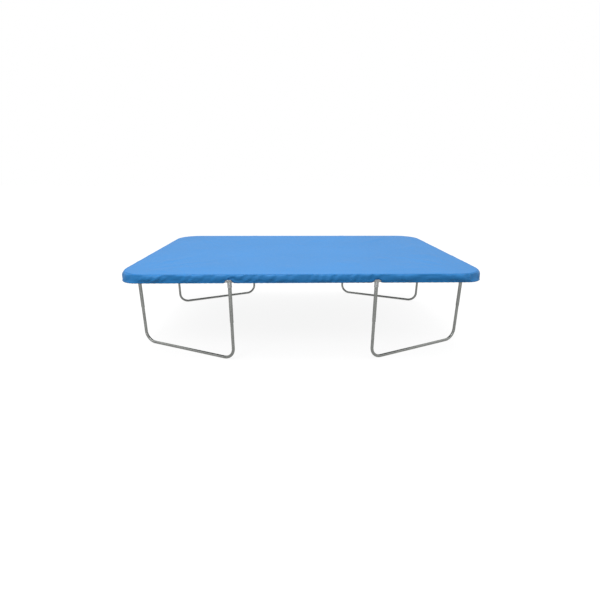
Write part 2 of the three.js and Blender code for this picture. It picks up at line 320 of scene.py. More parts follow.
def vinyl_material(name, colour):
    """Grained vinyl, a little uneven from the foam under it."""
    kit = Shader(name, colour, 0.42, coat=0.08)
    _, distance = kit.cells(scale=620)
    kit.bump(distance, 0.0004, 0.6)
    kit.bump(kit.noise(scale=22, detail=4), 0.003, 0.4)
    kit.tint(kit.noise(scale=5), colour, 0.9, 1.12)
    kit.link(kit.ramp(kit.noise(scale=18), 0.36, 0.5), "Roughness")
    return kit.material


def webbing_material(name, colour):
    kit = Shader(name, colour, 0.7, sheen=0.3)
    weave(kit, 0.0032, 0.0006)
    kit.tint(kit.noise(scale=90), colour, 0.8, 1.3)
    return kit.material


FLOOR_SEEN = 0.22  # diffuse share of the floor as it is seen
FLOOR_GLOW = 0.88  # keeps the seen floor pale under the trampoline
FLOOR_DULL = 0.6  # how far reflections of the floor are dimmed
FLOOR_BOUNCE = 0.05  # what it throws back onto the object


def floor_material(name):
    """A pale sweep that looks white and stays dim as a source of light."""
    material = bpy.data.materials.new(name)
    material.use_nodes = True
    nodes, links = material.node_tree.nodes, material.node_tree.links
    nodes.clear()
    output = nodes.new("ShaderNodeOutputMaterial")
    mix = nodes.new("ShaderNodeMixShader")
    seen = nodes.new("ShaderNodeAddShader")
    glow = nodes.new("ShaderNodeEmission")
    glow.inputs["Strength"].default_value = FLOOR_GLOW
    for level, socket in ((FLOOR_SEEN, seen.inputs[0]), (FLOOR_BOUNCE, mix.inputs[2])):
        diffuse = nodes.new("ShaderNodeBsdfDiffuse")
        diffuse.inputs["Color"].default_value = (level, level, level, 1)
        links.new(diffuse.outputs[0], socket)
    links.new(glow.outputs[0], seen.inputs[1])
    links.new(seen.outputs[0], mix.inputs[1])
    ray = nodes.new("ShaderNodeLightPath")
    share = nodes.new("ShaderNodeMath")
    share.operation = "MULTIPLY_ADD"
    share.inputs[1].default_value = FLOOR_DULL
    links.new(ray.outputs["Is Glossy Ray"], share.inputs[0])
    links.new(ray.outputs["Is Diffuse Ray"], share.inputs[2])
    links.new(share.outputs[0], mix.inputs[0])
    links.new(mix.outputs[0], output.inputs["Surface"])
    return material


TUBE_ZINC = galvanised_material("tube_zinc", (0.48, 0.493, 0.470), 0.25)
SOCKET_ZINC = galvanised_material("socket_zinc", (0.60, 0.61, 0.60), 0.38)
BOLT_ZINC = plated_material("bolt_zinc", (0.62, 0.62, 0.60), 0.3)
SPRING_ZINC = plated_material("spring_zinc", (0.58, 0.59, 0.60), 0.24)
COVER_CLOTH = cover_material("cover_cloth", COVER_BLUE)
# The hem roll is the same cloth as the cover, darkened: painted shade along the tucked-under hem.
HEM_PAINTED_SHADE_CLOTH = cover_material("hem_painted_shade", shade(COVER_BLUE, 0.62))
MAT_CLOTH = mat_material("mat_cloth", MAT_BLACK)
MAT_WEBBING = webbing_material("mat_webbing", shade(MAT_BLACK, 1.3))
PAD_VINYL = vinyl_material("pad_vinyl", PAD_BLUE)
PAD_PIPING = vinyl_material("pad_piping", shade(PAD_BLUE, 0.6))
FLOOR_WHITE = floor_material("floor_white")

# -------- mesh kit


def add_piece(name, points, faces, material, smooth_angle=40):
    mesh = bpy.data.meshes.new(name)
    mesh.from_pydata([tuple(map(float, p)) for p in points], [], [tuple(map(int, f)) for f in faces])
    mesh.validate()
    piece = bpy.data.objects.new(name, mesh)
    bpy.context.scene.collection.objects.link(piece)
    mesh.materials.append(material)
    mesh.shade_smooth()
    mesh.set_sharp_from_angle(angle=math.radians(smooth_angle))
    return piece


def joined(parts):
    """Several (points, faces) as one."""
    points, faces, count = [], [], 0
    for part_points, part_faces in parts:
        points.append(np.asarray(part_points, float))
        faces.extend([tuple(int(i) + count for i in face) for face in part_faces])
        count += len(part_points)
    return np.concatenate(points), faces


def weld(piece, distance=1e-6):
    mesh = bmesh.new()
    mesh.from_mesh(piece.data)
    bmesh.ops.remove_doubles(mesh, verts=mesh.verts, dist=distance)
    bmesh.ops.recalc_face_normals(mesh, faces=mesh.faces)
    mesh.to_mesh(piece.data)
    mesh.free()


def direction(start, end):
    return (Vector(end) - Vector(start)).normalized()


def bent_route(corners, radius, steps=10):
    """Points and tangents along straights joined by round bends."""
    corners = [Vector(corner) for corner in corners]
    route = [(corners[0], direction(corners[0], corners[1]))]
    for before, corner, after in zip(corners, corners[1:], corners[2:]):
        into, out = direction(before, corner), direction(corner, after)
        turn = into.angle(out)
        axis = into.cross(out).normalized()
        start = corner - into * radius * math.tan(turn / 2)
        centre = start + axis.cross(into) * radius
        for step in range(steps + 1):
            spin = Matrix.Rotation(turn * step / steps, 3, axis)
            route.append((centre + spin @ (start - centre), spin @ into))
    route.append((corners[-1], direction(corners[-2], corners[-1])))
    return route


def smooth_route(points):
    """Points with the tangents of the line through their neighbours."""
    points = [Vector(p) for p in points]
    ahead = points[1:] + [points[-1]]
    behind = [points[0]] + points[:-1]
    return [(p, direction(b, a)) for p, b, a in zip(points, behind, ahead)]


def ring_angles(sides):
    return [2 * math.pi * i / sides for i in range(sides)]


def rings_along(route, radius, sides):
    """One ring of points for each station, carried along without twist."""
    tangent = route[0][1]
    side = tangent.orthogonal().normalized()
    rings = []
    for point, ahead in route:
        side = side @ tangent.rotation_difference(ahead).to_matrix().transposed()
        side = (side - ahead * side.dot(ahead)).normalized()
        up = ahead.cross(side)
        tangent = ahead
        turns = ring_angles(sides)
        rings.append([point + (side * math.cos(a) + up * math.sin(a)) * radius for a in turns])
    return rings


def flattened(rings):
    return [p for ring in rings for p in ring]


def skin(rings, first=0, flip=False):
    """Quads between closed rings that follow each other."""
    sides = len(rings[0])
    faces = []
    for r in range(len(rings) - 1):
        for i in range(sides):
            j = (i + 1) % sides
            a, b = first + r * sides, first + (r + 1) * sides
            face = (a + i, a + j, b + j, b + i)
            faces.append(face[::-1] if flip else face)
    return faces


def wire(route, radius, sides=6):
    """A solid round wire with closed ends."""
    rings = rings_along(route, radius, sides)
    points = flattened(rings)
    last = (len(rings) - 1) * sides
    caps = [tuple(range(sides))[::-1], tuple(range(last, last + sides))]
    return points, skin(rings) + caps


def pipe(route, radius, wall=TUBE_WALL, sides=32):
    """A tube with a real bore and square-cut ends."""
    outer = rings_along(route, radius, sides)
    inner = rings_along(route, radius - wall, sides)
    points = flattened(outer + inner)
    bore = len(outer) * sides
    faces = skin(outer) + skin(inner, bore, flip=True)
    last = (len(outer) - 1) * sides
    for i in range(sides):
        j = (i + 1) % sides
        faces.append((j, i, bore + i, bore + j))
        faces.append((last + i, last + j, bore + last + j, bore + last + i))
    return points, faces


def turned(part, yaw, place):
    """A part made at the origin, turned about Z and set in place."""
    points, faces = part
    move = Matrix.Translation(place) @ Matrix.Rotation(yaw, 4, "Z")
    return [move @ Vector(p) for p in points], faces


def outward_yaw(out_x, out_y):
    """The turn that points a part's own -Y out of the frame."""
    return math.atan2(out_x, -out_y)


# -------- steel frame


def post_out(post):
    """Which way is out of the frame at a post."""
    corner, kind = post.rsplit("_", 1)
    sx, sy = next((x, y) for name, x, y in CORNERS if name == corner)
    return (0, sy) if kind == "side" else (sx, 0)


def finish_steel(piece, node):
    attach(piece, "frame")
    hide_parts(node)


def make_straight_rails():
    for name, x, _ in SIDES:
        low, high = cad_box(f"rail_{name}")
        centre = (low + high) / 2
        half = Vector((0, (high - low).y / 2, 0)) if x else Vector(((high - low).x / 2, 0, 0))
        route = bent_route([centre - half, centre + half], 0)
        rail = add_piece(f"steel_rail_{name}", *pipe(route, RAIL_RADIUS), TUBE_ZINC)
        finish_steel(rail, f"rail_{name}")


def make_corner_rails():
    for name, sx, sy in CORNERS:
        side = middle(f"tee_{name}_side")
        end = middle(f"tee_{name}_end")
        corner = Vector((sx * FRAME_HALF.x, sy * FRAME_HALF.y, RAIL_HEIGHT))
        start = Vector((side.x + sx * RAIL_GAP, corner.y, RAIL_HEIGHT))
        finish = Vector((corner.x, end.y + sy * RAIL_GAP, RAIL_HEIGHT))
        route = bent_route([start, corner, finish], RAIL_BEND, steps=20)
        rail = add_piece(f"steel_rail_corner_{name}", *pipe(route, RAIL_RADIUS), TUBE_ZINC)
        finish_steel(rail, f"rail_corner_{name}")


def make_uprights():
    for post in POSTS:
        low, high = cad_box(f"upright_{post}")
        centre = (low + high) / 2
        route = bent_route([(centre.x, centre.y, high.z), (centre.x, centre.y, low.z)], 0)
        upright = add_piece(f"steel_upright_{post}", *pipe(route, POST_RADIUS), TUBE_ZINC)
        finish_steel(upright, f"upright_{post}")


def make_leg_bases():
    for name, _, _ in CORNERS:
        top = cad_box(f"leg_base_{name}")[1].z
        feet = [middle(f"upright_{name}_{kind}") for kind in ("side", "end")]
        corners = [feet[0].copy(), feet[0].copy(), feet[1].copy(), feet[1].copy()]
        for corner, height in zip(corners, (top, BASE_RADIUS, BASE_RADIUS, top)):
            corner.z = height
        route = bent_route(corners, BASE_BEND, steps=16)
        base = add_piece(f"steel_leg_base_{name}", *pipe(route, BASE_RADIUS), TUBE_ZINC)
        finish_steel(base, f"leg_base_{name}")


STUB_RADIUS = 0.0216  # the part of a socket that holds the upright
SOCKET_WALL = 0.0022
SOCKET_LIP = 0.0012  # how far a rolled lip stands proud
SOCKET_SIDES = 40
WELD_STEPS = 96
WELD_RADIUS = 0.0026
WELD_OFFSET = 0.0006  # outside the stub
WELD_RIPPLE = 0.16  # how much each ripple swells the bead


def socket_sleeve(radius, half):
    """The sleeve along X, with a rolled lip at each end."""
    stations = ((0, 0.0), (0.001, SOCKET_LIP), (0.005, SOCKET_LIP), (0.008, 0.0))
    profile = [(-half + back, radius + rise) for back, rise in stations]
    profile += [(-x, r) for x, r in reversed(profile)]
    bore = radius - SOCKET_WALL
    profile += [(half, bore), (-half, bore)]
    angles = ring_angles(SOCKET_SIDES)
    rings = [[Vector((x, r * math.cos(a), r * math.sin(a))) for a in angles] for x, r in profile]
    faces = skin(rings, flip=True)
    closing = (len(rings) - 1) * SOCKET_SIDES
    for i in range(SOCKET_SIDES):
        j = (i + 1) % SOCKET_SIDES
        faces.append((j, i, closing + i, closing + j))
    return flattened(rings), faces


def saddle_point(radius, angle, sleeve):
    """Where a vertical stub of this radius meets the sleeve's underside."""
    x, y = radius * math.cos(angle), radius * math.sin(angle)
    return Vector((x, y, -math.sqrt(max(sleeve**2 - y**2, 0))))


def socket_stub(sleeve, bottom):
    """The stub: a tube cut to the saddle of the sleeve at its top."""
    angles = [-a for a in ring_angles(SOCKET_SIDES)]
    bore = STUB_RADIUS - SOCKET_WALL
    rings = [[saddle_point(STUB_RADIUS, a, sleeve - 0.001) for a in angles]]
    for radius, z in ((STUB_RADIUS, bottom + 0.006), (STUB_RADIUS + SOCKET_LIP, bottom + 0.004)):
        rings.append([Vector((radius * math.cos(a), radius * math.sin(a), z)) for a in angles])
    for radius, z in ((STUB_RADIUS + SOCKET_LIP, bottom), (bore, bottom), (bore, -sleeve)):
        rings.append([Vector((radius * math.cos(a), radius * math.sin(a), z)) for a in angles])
    return flattened(rings), skin(rings)


def weld_bead(sleeve):
    """A rippled bead round the saddle."""
    route = []
    for i in range(WELD_STEPS + 1):
        angle = 2 * math.pi * i / WELD_STEPS
        route.append(saddle_point(STUB_RADIUS + WELD_OFFSET, angle, sleeve))
    rings = rings_along(smooth_route(route), WELD_RADIUS, 8)
    for i, ring in enumerate(rings):
        swell = 1 + WELD_RIPPLE * math.sin(2 * math.pi * i / 4)
        rings[i] = [route[i] + (p - route[i]) * swell for p in ring]
    return flattened(rings), skin(rings)


def make_sockets():
    for post in POSTS:
        low, high = cad_box(f"tee_{post}")
        out = post_out(post)
        radius = high.z - RAIL_HEIGHT
        half = max((high - low).x, (high - low).y) / 2
        part = joined([
            socket_sleeve(radius, half),
            socket_stub(radius, low.z - RAIL_HEIGHT),
            weld_bead(radius),
        ])
        centre = middle(f"tee_{post}")
        place = Vector((centre.x, centre.y, RAIL_HEIGHT))
        socket = add_piece(f"steel_socket_{post}", *turned(part, outward_yaw(*out), place), SOCKET_ZINC)
        finish_steel(socket, f"tee_{post}")


def dress_fasteners():
    """Bolts and nuts keep their CAD shape and get a plated finish."""
    for post in POSTS:
        for kind in ("bolt", "nut"):
            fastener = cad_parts[f"{kind}_{post}"]
            fastener.data.materials.clear()
            fastener.data.materials.append(BOLT_ZINC)


# -------- jump mat and springs

MAT_STEPS = (40, 64, 8)  # along an end, a side and a corner
MAT_BAND = 0.040  # webbing border
MAT_RAISED = 0.0005  # how far the border stands above the bed
END_SPRINGS, SIDE_SPRINGS = 16, 26
RING_REACH = 0.024  # mat edge to the tip of a ring
RING_WIRE = 0.0019
SPRING_END = 0.188  # mat edge to where the far hook enters the rail
SPRING_RADIUS = 0.0100  # to the middle of the wire
SPRING_WIRE = 0.0016
SPRING_TURNS = 30
TURN_STEPS = 9  # points in each turn of a coil
HOOK_REACH, HOOK_RISE = 0.004, 0.0055  # half the length and half the height of a spring's hook
SPRING_LEAD, SPRING_TAIL = 0.020, 0.030  # from the ring to the coil, and from the coil to the rail
RING_CUTS = (0.06, 0.18)  # shares of a ring's side where the bend at its corner starts and ends


def rounded_loop(half_x, half_y, radius, counts):
    """Points round a rounded rectangle, counter-clockwise from the middle of the +X side.

    The counts are the steps along an end, a side and a corner.
    """
    end, side, arc = counts
    x, y = half_x - radius, half_y - radius
    corners = ((x, y, 0), (-x, y, 90), (-x, -y, 180), (x, -y, 270))
    loop = []
    for index, (cx, cy, first) in enumerate(corners):
        for i in range(arc):
            angle = math.radians(first + 90 * i / arc)
            loop.append((cx + radius * math.cos(angle), cy + radius * math.sin(angle)))
        angle = math.radians(first + 90)
        start = (cx + radius * math.cos(angle), cy + radius * math.sin(angle))
        nx, ny, _ = corners[(index + 1) % 4]
        finish = (nx + radius * math.cos(angle), ny + radius * math.sin(angle))
        steps = side if index % 2 == 0 else end
        for i in range(steps):
            t = i / steps
            loop.append((start[0] + (finish[0] - start[0]) * t, start[1] + (finish[1] - start[1]) * t))
    half_end = end // 2
    return np.array(loop[-half_end:] + loop[:-half_end])


def cap_across(counts, first, flip=False):
    """Closes a loop with faces between mirrored points, and one face over each end and its corners."""
    end, side, arc = counts
    loop_size = 2 * (end + side) + 4 * arc
    half, reach = loop_size // 2, end // 2 + arc
    faces = [[i % loop_size for i in range(mid - reach, mid + reach + 1)] for mid in (0, half)]
    faces += [[k, k + 1, loop_size - k - 1, loop_size - k] for k in range(reach, half - reach)]
    faces = [tuple(first + i for i in face) for face in faces]
    return [face[::-1] for face in faces] if flip else faces


def make_mat():
    """The bed of the mat with a raised webbing border, as a closed thin panel."""
    size = 2 * (MAT_STEPS[0] + MAT_STEPS[1]) + 4 * MAT_STEPS[2]
    cloth, band = MAT_HALF.z - MAT_RAISED, MAT_HALF.z
    # The top face in section: inset from the edge, and height over the middle.
    profile = ((0.0, band * 0.4), (0.001, band), (MAT_BAND, band), (MAT_BAND + 0.002, cloth), (0.30, cloth),
               (0.65, cloth), (MAT_HALF.y - 0.02, cloth))
    rows = [(inset, -z) for inset, z in reversed(profile)] + list(profile)
    points = []
    for inset, z in rows:
        shrink = 1 - inset / MAT_HALF.y
        loop = rounded_loop(MAT_HALF.x - inset, MAT_HALF.y - inset, MAT_CORNER * shrink, MAT_STEPS)
        points += [(x, y, MAT_HEIGHT + z) for x, y in loop]
    rings = [range(size)] * len(rows)
    faces = skin(rings) + cap_across(MAT_STEPS, 0, flip=True)
    faces += cap_across(MAT_STEPS, (len(rows) - 1) * size)
    mat = add_piece("mat_bed", points, faces, MAT_CLOTH)
    mat.data.materials.append(MAT_WEBBING)
    for face in mat.data.polygons:
        inset = min(MAT_HALF.x - abs(face.center.x), MAT_HALF.y - abs(face.center.y))
        if inset < MAT_BAND + 0.001:
            face.material_index = 1
    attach(mat, "mat")
    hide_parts("jump_mat")
    return mat


def spring_places():
    """For each row of springs: its name, its CAD node, its direction out, and where they meet the mat."""
    rows = []
    for name, x, y in SIDES:
        node = f"springs_{name}"
        if x:
            count, reach, straight = END_SPRINGS, MAT_HALF.x, MAT_HALF.y
        else:
            count, reach, straight = SIDE_SPRINGS, MAT_HALF.y, MAT_HALF.x
        pitch = 2 * (straight - MAT_CORNER) / count
        along = [(i - (count - 1) / 2) * pitch for i in range(count)]
        out = Vector((x, y, 0))
        across = Vector((-y, x, 0))
        rows.append((name, node, out, [out * reach + across * a for a in along]))
    for name, sx, sy in CORNERS:
        out = Vector((sx, sy, 0)).normalized()
        bend = Vector((sx * (MAT_HALF.x - MAT_CORNER), sy * (MAT_HALF.y - MAT_CORNER), 0))
        rows.append((f"corner_{name}", f"spring_corner_{name}", out, [bend + out * MAT_CORNER]))
    return rows


def coil_spring():
    """One spring from its hook over the ring to its end in the rail, along -Y from the mat edge."""
    coil_start, coil_end = RING_REACH + SPRING_LEAD, SPRING_END - SPRING_TAIL
    points = []
    for i in range(9):
        angle = math.radians(200 - 25 * i)
        points.append((0, -RING_REACH - HOOK_REACH * math.cos(angle), HOOK_RISE * math.sin(angle)))
    points.append((0, -coil_start + 0.006, -0.004))
    for i in range(SPRING_TURNS * TURN_STEPS + 1):
        t = i / (SPRING_TURNS * TURN_STEPS)
        angle = 2 * math.pi * i / TURN_STEPS - math.pi / 2
        y = -(coil_start + (coil_end - coil_start) * t)
        points.append((SPRING_RADIUS * math.cos(angle), y, SPRING_RADIUS * math.sin(angle)))
    tail = ((coil_end + 0.006, 0.0), (coil_end + 0.014, 0.004))
    hook = ((SPRING_END - 0.006, 0.004), (SPRING_END + 0.004, 0.0))
    points += [(0, -y, z) for y, z in tail + hook]
    return wire(smooth_route(points), SPRING_WIRE, 5)


def v_ring():
    """The triangular wire ring that a spring hooks onto, and its point along -Y."""
    corners = ((-0.019, 0.006), (0.019, 0.006), (0.0035, -RING_REACH), (-0.0035, -RING_REACH))
    route = []
    for i, (x, y) in enumerate(corners):
        ahead = corners[(i + 1) % 4]
        behind = corners[i - 1]
        for t in reversed(RING_CUTS):
            route.append((x + (behind[0] - x) * t, y + (behind[1] - y) * t, 0))
        for t in RING_CUTS:
            route.append((x + (ahead[0] - x) * t, y + (ahead[1] - y) * t, 0))
    rings = rings_along(smooth_route(route + route[:1]), RING_WIRE, 6)
    return flattened(rings), skin(rings)


def webbing_tab():
    """The folded tab of webbing that holds a ring to the mat."""
    half, top = 0.015, 0.0045
    section = ((0.030, 0.0), (0.028, top * 0.75), (0.004, top), (-0.004, top * 0.8), (-0.0062, 0))
    outline = list(section) + [(y, -z) for y, z in reversed(section[1:-1])]
    points = [(x, y, z) for x in (-half, half) for y, z in outline]
    n = len(outline)
    faces = [(i, (i + 1) % n, n + (i + 1) % n, n + i) for i in range(n)]
    return points, faces + [tuple(range(n))[::-1], tuple(range(n, 2 * n))]


def make_springs():
    spring, ring, tab = coil_spring(), v_ring(), webbing_tab()
    rings, tabs = [], []
    for name, node, out, places in spring_places():
        yaw = outward_yaw(out.x, out.y)
        spots = [place + Vector((0, 0, MAT_HEIGHT)) for place in places]
        row = joined([turned(spring, yaw, spot) for spot in spots])
        rings += [turned(ring, yaw, spot) for spot in spots]
        tabs += [turned(tab, yaw, spot) for spot in spots]
        piece = add_piece(f"coil_springs_{name}", *row, SPRING_ZINC, smooth_angle=180)
        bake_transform(piece)
        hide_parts(node)
    rings_piece = add_piece("mat_rings", *joined(rings), SPRING_ZINC, smooth_angle=180)
    tabs_piece = add_piece("mat_tabs", *joined(tabs), MAT_WEBBING, smooth_angle=30)
    for piece in (rings_piece, tabs_piece):
        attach(piece, "mat")
    return [rings_piece, tabs_piece]


def make_jump_bed():
    mat_bed = make_mat()
    mat_extras = make_springs()


# -------- safety pads


PAD_OVERHANG = 0.022  # past the rail's axis
PAD_CLEARANCE = 0.0005  # inside the CAD pad's top and bottom
PAD_MITRE = 0.0015  # half the gap between two pads
PAD_PANEL = 0.62  # length between cross seams
PAD_SEAM = 0.006  # half the width of the dip at a cross seam
PAD_DIP = 0.28  # depth of that dip, as a share of half the pad
PAD_RIPPLE = 0.06
PAD_ROWS, PAD_COLUMNS, PAD_END_COLUMNS = 23, 150, 9
PAD_END = 0.02  # share of the length that rounds off at each end
SIDE_CROWN, END_CROWN = 4.5, 60  # the higher, the squarer the section
PIPING_RADIUS = 0.0028


def eased(count):
    """Steps from 0 to 1, close together at both ends."""
    return (1 - np.cos(np.linspace(0, math.pi, count))) / 2


def pad_grid(half_x, half_y, width, radius, across, along):
    """Plan positions over one front pad, from its inner edge to its outer edge, and -X to +X."""
    x, y = half_x - radius - PAD_MITRE, -(half_y - radius)
    angles = np.linspace(1.25, 1.5, 9) * math.pi
    bend = [(-x + radius * math.cos(a), y + radius * math.sin(a)) for a in angles]
    line = np.array(bend + [(-px, py) for px, py in reversed(bend)])
    reach = np.concatenate([[0], np.cumsum(np.linalg.norm(np.diff(line, axis=0), axis=1))])
    inner_x, inner_y = half_x - width - PAD_MITRE, -(half_y - width)
    grid = np.zeros((len(across), len(along), 2))
    for j, t in enumerate(along):
        outer = np.array([np.interp(t * reach[-1], reach, line[:, k]) for k in (0, 1)])
        inner = np.array([(2 * t - 1) * inner_x, inner_y])
        for i, s in enumerate(across):
            grid[i, j] = inner + (outer - inner) * s
    return grid


def crown(t, power):
    return (1 - abs(2 * t - 1) ** power) ** (1 / power)


def pad_rise(x, y, edge, t, panels, length):
    """Height of the top over the middle, as a share: dipped at each cross seam and slightly rippled."""
    nearest = round(t * panels)
    seam = math.exp(-(((t * panels - nearest) * length / panels) / PAD_SEAM) ** 2)
    ripple = PAD_RIPPLE * math.sin(31 * x + 4 * math.sin(9 * y)) * edge
    return max(edge * (1 - PAD_DIP * seam * (0 < nearest < panels)) + ripple - PAD_RIPPLE, 0)


def pad_surface(grid, across, along, length, centre, half):
    """Points and faces of the top and underside, which meet round the edge."""
    panels = max(2, round(length / PAD_PANEL))
    top, bottom = [], []
    for i, s in enumerate(across):
        for j, t in enumerate(along):
            x, y = grid[i, j]
            edge = crown(s, SIDE_CROWN) * crown(t, END_CROWN)
            top.append((x, y, centre + half * pad_rise(x, y, edge, t, panels, length)))
            bottom.append((x, y, centre - half * edge))
    rows, columns = len(across), len(along)
    faces = []
    for i in range(rows - 1):
        for j in range(columns - 1):
            a = i * columns + j
            quad = (a, a + 1, a + columns + 1, a + columns)
            faces.append(quad[::-1])
            faces.append(tuple(k + rows * columns for k in quad))
    return top + bottom, faces


def pad_rim(grid, centre):
    """Points round the edge of a pad, where its piping is sewn."""
    rows, columns = grid.shape[:2]
    line = [grid[0, j] for j in range(columns)]
    line += [grid[i, -1] for i in range(1, rows)]
    line += [grid[-1, j] for j in range(columns - 2, -1, -1)]
    line += [grid[i, 0] for i in range(rows - 2, -1, -1)]
    return [(*spot, centre) for spot in line]


def make_pad(name, turn, half_x, half_y):
    low, high = cad_box(f"pad_{name}")
    width = min((high - low).x, (high - low).y)
    across = eased(PAD_ROWS)
    ends = eased(PAD_END_COLUMNS) * PAD_END
    along = np.unique(np.concatenate([ends, 1 - ends, np.linspace(0, 1, PAD_COLUMNS)]))
    grid = pad_grid(half_x, half_y, width, RAIL_BEND + PAD_OVERHANG, across, along)
    centre, half = (low.z + high.z) / 2, (high.z - low.z) / 2 - PAD_CLEARANCE
    points, faces = pad_surface(grid, across, along, 2 * half_x, centre, half)
    move = Matrix.Rotation(turn, 4, "Z")
    points = [move @ Vector(p) for p in points]
    pad = add_piece(f"safety_pad_{name}", points, faces, PAD_VINYL, smooth_angle=60)
    weld(pad)
    rim = [move @ Vector(p) for p in pad_rim(grid, centre)]
    piping = add_piece(f"pad_piping_{name}", *wire(smooth_route(rim), PIPING_RADIUS), PAD_PIPING)
    for piece in (pad, piping):
        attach(piece, "frame")
    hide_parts(f"pad_{name}")


def make_pads():
    half_x, half_y = FRAME_HALF.x + PAD_OVERHANG, FRAME_HALF.y + PAD_OVERHANG
    make_pad("front", 0, half_x, half_y)
    make_pad("right", math.pi / 2, half_y, half_x)
    make_pad("rear", math.pi, half_x, half_y)
    make_pad("left", 3 * math.pi / 2, half_y, half_x)


# -------- weather cover

COVER_STEPS = (168, 280, 46)  # along an end, a side and a corner
COVER_LOOP = 2 * (COVER_STEPS[0] + COVER_STEPS[1]) + 4 * COVER_STEPS[2]
TOP_CORNER = 0.290  # radius of the corners where the cloth lies on the pads
SKIRT_CORNER = 0.185  # and lower down, where it hangs clear of the frame
COVER_THICKNESS = 0.0012
TOP_CLEARANCE, HEM_CLEARANCE = 0.0008, 0.003  # inside the CAD's top face and its hem
# Insets of the rows of the top panel: even ones over the middle, and closer ones near the edge.
TOP_INSETS = (*(1.05 - 0.05 * i for i in range(16)),
              0.25, 0.21, 0.18, 0.155, 0.135, 0.117, 0.101, 0.087, 0.075, 0.064)
TOP_SAG = 0.012  # how far the middle of the top panel dips inside the ring of pads
SAG_START, SAG_SPAN = 0.26, 0.6  # inset where the dip begins, and how much further in it is full
FOLD_RISE = 0.0065
FOLD_FADE = 0.2  # the folds fade out over this much of both edges of the panel
CORNER_FOLDS = 13  # folds in a full turn round each corner
FAN_INSET = 0.2  # the point that a corner's folds fan out of
FAN_NEAR, FAN_FAR = 0.1, 1.1  # how far from that point they start and end
BROAD_FOLDS = 9
SIM_INSET = 0.31  # the simulation takes in this much of the top panel
# The edge and skirt in section: inset from the outline, and the share of the drop to the hem.
SKIRT_SECTION = (
    (0.054, 0.00), (0.045, 0.001), (0.036, 0.006), (0.028, 0.017), (0.020, 0.037),
    (0.013, 0.072), (0.0075, 0.12), (0.0035, 0.18), (0.001, 0.25), (0.0, 0.33),
    (0.0005, 0.42), (0.0025, 0.51), (0.005, 0.60), (0.008, 0.68), (0.011, 0.76),
    (0.0135, 0.84), (0.017, 0.91), (0.022, 0.965), (0.026, 1.00),
)
SEAM_ROW = 4  # row of the section with the sewn edge
INSET_LIMIT = 0.0150  # the skirt stays outside the pads, the rails and the sockets
EDGE_SLACK = 0.0015  # how far the rounded edge may sink towards the pads
EDGE_END = 0.1  # share of the drop where the rounded edge ends and the skirt begins
NOTCH_FLAT = 0.030  # half the level part of a notch in the hem
NOTCH_SIDE = 0.017  # length of each rising side
NOTCH_TOP = 0.889
NOTCH_INSET = 0.011  # the lifted hem stays outside the socket's sleeve
NOTCH_SHARE = 0.4  # from this share of the drop downwards
NOTCH_LINE = 0.030  # inset of the line on which distances from the sockets are taken
HEM_RADIUS, HEM_GATHERS, HEM_BELOW = 0.0036, 0.22, 0.001
SEAM_RADIUS, SEAM_GATHERS, SEAM_ABOVE = 0.0020, 0.10, 0.0008


def loop_at(inset, corner):
    shrink = max(1 - inset / COVER_HALF.y, 0.01)
    return rounded_loop(COVER_HALF.x - inset, COVER_HALF.y - inset, corner * shrink, COVER_STEPS)


def notch_shares():
    """For each point round the hem, 1 where it lifts over a socket, falling to 0 on both sides."""
    loop = loop_at(NOTCH_LINE, SKIRT_CORNER)
    posts = np.array([middle(f"tee_{post}").xy for post in POSTS])
    away = np.linalg.norm(loop[:, None] - posts[None], axis=2).min(1)
    t = np.clip((away - NOTCH_FLAT) / NOTCH_SIDE, 0, 1)
    return 1 - t * t * (3 - 2 * t)


def top_folds(x, y):
    """Height of the top panel's shallow folds: broad ones all over, and some that fan out of each corner."""
    source = np.random.default_rng(21)
    broad = 0
    for _ in range(BROAD_FOLDS):
        turn = source.uniform(0, math.pi)
        wave = source.uniform(0.3, 0.8)
        phase = source.uniform(0, 2 * math.pi)
        across = (x * math.cos(turn) + y * math.sin(turn)) / wave
        broad = broad + np.sin(2 * math.pi * across + phase + 0.8 * np.sin(1.7 * x + 2.3 * y + phase)) / 3
    fan = 0
    for _, out_x, out_y in CORNERS:
        away_x = out_x * (COVER_HALF.x - FAN_INSET) - x
        away_y = out_y * (COVER_HALF.y - FAN_INSET) - y
        away = np.hypot(away_x, away_y)
        near = np.clip((away - FAN_NEAR) / 0.25, 0, 1) * np.clip((FAN_FAR - away) / 0.6, 0, 1)
        turn = np.arctan2(away_y, away_x)
        fan = fan + near * np.clip(np.cos(CORNER_FOLDS * turn + 1.5 * np.sin(3 * away + out_x)), 0, 1) ** 2
    return FOLD_RISE * (np.clip(broad, 0, 1.5) ** 2 * 0.5 + 0.7 * fan)


def make_cover_rows():
    """Rows of points from the middle of the top panel, over the edge and down the skirt to the hem."""
    rows = []
    top = COVER_TOP - TOP_CLEARANCE
    for inset in TOP_INSETS:
        sag = TOP_SAG * min(max((inset - SAG_START) / SAG_SPAN, 0), 1) ** 1.5
        loop = loop_at(inset, TOP_CORNER)
        share = min(inset / FOLD_FADE, 1, (TOP_INSETS[0] - inset) / FOLD_FADE)
        rows.append(np.column_stack([loop, top - sag + top_folds(*loop.T) * share]))
    lift = notch_shares()
    hem = COVER_HEM + HEM_CLEARANCE + (NOTCH_TOP - COVER_HEM) * lift
    for inset, share in SKIRT_SECTION:
        corner = TOP_CORNER + (SKIRT_CORNER - TOP_CORNER) * share ** 2
        tucked = loop_at(inset, corner)
        lifted = loop_at(min(inset, NOTCH_INSET) if share > NOTCH_SHARE else inset, corner)
        loop = tucked + (lifted - tucked) * lift[:, None]
        rows.append(np.column_stack([loop, top + (hem - top) * share]))
    return np.array(rows)


NOISE_WAVES = 24  # sine waves in each noise


